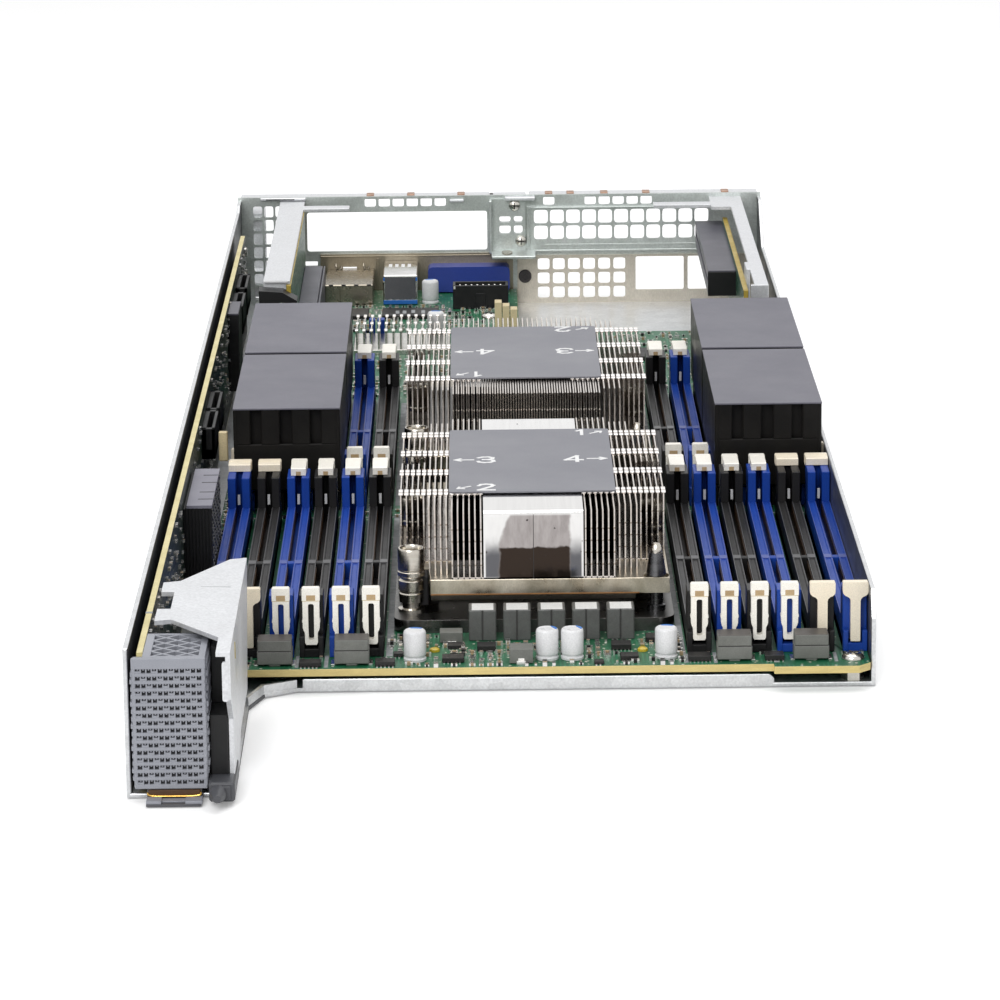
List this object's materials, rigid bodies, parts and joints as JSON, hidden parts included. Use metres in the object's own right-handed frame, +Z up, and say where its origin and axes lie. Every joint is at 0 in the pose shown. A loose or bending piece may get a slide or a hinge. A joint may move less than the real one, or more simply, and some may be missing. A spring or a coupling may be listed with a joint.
{
  "type": "rack server compute sled",
  "caption": "Half-width compute sled of a multi-node rack server, top cover off, with heat sinks in line between memory banks, a plug end and a rear port panel.",
  "frame": {"origin": "centre of the bounding box, on the tray's underside", "axes": "+X to the right when seen from the plug end, +Y from the plug end to the rear port panel, +Z up out of the open tray"},
  "size_m": [0.184, 0.6008, 0.0398],
  "materials": {
    "galvanised": "galvanised sheet, fine spangle, satin",
    "panel_steel": "plated sheet steel, satin",
    "nickel_plate": "warm nickel plate, satin",
    "bracket_white": "pale zinc plate, satin",
    "board_green": "green solder mask over glass epoxy",
    "adapter_green": "pale edged circuit board",
    "riser_green": "circuit board with mustard edge",
    "standoff_brass": "turned",
    "screw_steel": "zinc plated",
    "header_black": "moulded, fine grain",
    "connector_grey": "moulded blue grey",
    "power_black": "moulded black",
    "peg_grey": "moulded dark grey",
    "slot_lilac": "moulded lilac grey",
    "port_metal": "nickel plated sheet",
    "video_blue": "moulded navy blue",
    "jumper_cream": "moulded cream",
    "bolster_dark": "dark plated steel",
    "socket_ivory": "moulded ivory",
    "processor_lid": "nickel plated copper lid",
    "base_metal": "machined",
    "fin_metal": "bright stamped sheet",
    "core_metal": "bright smooth",
    "plate_grey": "bare grey film",
    "nut_steel": "turned, plated",
    "post_dark": "dark turned steel",
    "socket_blue": "moulded blue",
    "socket_black": "moulded black",
    "latch_white": "moulded white",
    "cover_grey": "moulded dark grey, fine grain",
    "choke_grey": "pressed ferrite, satin grey",
    "choke_brown": "pressed ferrite, grey brown",
    "can_silver": "drawn can with a coloured segment",
    "chip_black": "moulded epoxy",
    "handle_dark": "moulded dark grey",
    "lever_green": "moulded, touch colour"
  },
  "bodies": {
    "sled": {"adapter_board": "adapter_green", "adapter_bracket": "bracket_white", "adapter_sockets": "header_black", "backplane_connector": "connector_grey", "board_chips": "chip_black", "board_screws": "screw_steel", "bolster_plates": "bolster_dark", "bus_port": "port_metal", "can_capacitors": "can_silver", "centre_post": "galvanised", "expansion_socket": "header_black", "guide_peg": "peg_grey", "guide_posts": "post_dark", "header_block": "header_black", "heatsink_bases": "base_metal", "heatsink_cores": "core_metal", "heatsink_fins": "fin_metal", "heatsink_nuts": "nut_steel", "heatsink_plates": "plate_grey", "jumper_headers": "jumper_cream", "latches_covered": "latch_white", "lever_bracket": "galvanised", "lever_pin": "screw_steel", "main_board": "board_green", "memory_chokes": "choke_brown", "memory_sockets_black": "socket_black", "memory_sockets_blue": "socket_blue", "network_bay_plate": "nickel_plate", "network_jack": "port_metal", "panel_screws": "screw_steel", "port_plate": "nickel_plate", "power_connector": "power_black", "processor_sockets": "socket_ivory", "processors": "processor_lid", "pull_handle": "handle_dark", "rear_panel": "panel_steel", "regulator_chokes": "choke_grey", "riser_bracket_left": "bracket_white", "riser_bracket_right": "bracket_white", "riser_card_left": "riser_green", "riser_card_right": "riser_green", "riser_slot": "slot_lilac", "riser_sockets": "header_black", "slot_blank": "nickel_plate", "standoffs": "standoff_brass", "tray": "galvanised", "video_port": "video_blue"},
    "latches_front_left_near_row": {"latches_front_left_near": "latch_white"},
    "latches_front_left_far_row": {"latches_front_left_far": "latch_white"},
    "latches_front_right_near_row": {"latches_front_right_near": "latch_white"},
    "latches_front_right_far_row": {"latches_front_right_far": "latch_white"},
    "latches_rear_left_near_row": {"latches_rear_left_near": "latch_white"},
    "latches_rear_left_far_row": {"latches_rear_left_far": "latch_white"},
    "latches_rear_right_near_row": {"latches_rear_right_near": "latch_white"},
    "latches_rear_right_far_row": {"latches_rear_right_far": "latch_white"},
    "memory_cover_left_near_piece": {"memory_cover_left_near": "cover_grey"},
    "memory_cover_left_far_piece": {"memory_cover_left_far": "cover_grey"},
    "memory_cover_right_near_piece": {"memory_cover_right_near": "cover_grey"},
    "memory_cover_right_far_piece": {"memory_cover_right_far": "cover_grey"},
    "release_lever_piece": {"release_lever": "lever_green"}
  },
  "joints": [
    {"name": "latches_front_left_near_hinge", "type": "hinge", "parent": "sled", "child": "latches_front_left_near_row", "pos_m": [-0.05201, -0.1917, 0.01], "axis": [1, 0, 0], "range_deg": [0, 20]},
    {"name": "latches_front_left_far_hinge", "type": "hinge", "parent": "sled", "child": "latches_front_left_far_row", "pos_m": [-0.05201, -0.0531, 0.01], "axis": [-1, 0, 0], "range_deg": [0, 20]},
    {"name": "latches_front_right_near_hinge", "type": "hinge", "parent": "sled", "child": "latches_front_right_near_row", "pos_m": [0.06299, -0.1917, 0.01], "axis": [1, 0, 0], "range_deg": [0, 20]},
    {"name": "latches_front_right_far_hinge", "type": "hinge", "parent": "sled", "child": "latches_front_right_far_row", "pos_m": [0.06299, -0.0531, 0.01], "axis": [-1, 0, 0], "range_deg": [0, 20]},
    {"name": "latches_rear_left_near_hinge", "type": "hinge", "parent": "sled", "child": "latches_rear_left_near_row", "pos_m": [-0.05201, -0.0389, 0.01], "axis": [1, 0, 0], "range_deg": [0, 20]},
    {"name": "latches_rear_left_far_hinge", "type": "hinge", "parent": "sled", "child": "latches_rear_left_far_row", "pos_m": [-0.05201, 0.0997, 0.01], "axis": [-1, 0, 0], "range_deg": [0, 20]},
    {"name": "latches_rear_right_near_hinge", "type": "hinge", "parent": "sled", "child": "latches_rear_right_near_row", "pos_m": [0.06299, -0.0389, 0.01], "axis": [1, 0, 0], "range_deg": [0, 20]},
    {"name": "latches_rear_right_far_hinge", "type": "hinge", "parent": "sled", "child": "latches_rear_right_far_row", "pos_m": [0.06299, 0.0997, 0.01], "axis": [-1, 0, 0], "range_deg": [0, 20]},
    {"name": "memory_cover_left_near_lift", "type": "slide", "parent": "sled", "child": "memory_cover_left_near_piece", "axis": [0, 0, 1], "range_m": [0, 0.045]},
    {"name": "memory_cover_left_far_lift", "type": "slide", "parent": "sled", "child": "memory_cover_left_far_piece", "axis": [0, 0, 1], "range_m": [0, 0.045]},
    {"name": "memory_cover_right_near_lift", "type": "slide", "parent": "sled", "child": "memory_cover_right_near_piece", "axis": [0, 0, 1], "range_m": [0, 0.045]},
    {"name": "memory_cover_right_far_lift", "type": "slide", "parent": "sled", "child": "memory_cover_right_far_piece", "axis": [0, 0, 1], "range_m": [0, 0.045]},
    {"name": "release_lever_hinge", "type": "hinge", "parent": "sled", "child": "release_lever_piece", "pos_m": [0.08101, 0.2837, 0.0105], "axis": [0, 0, 1], "range_deg": [0, 15]}
  ]
}
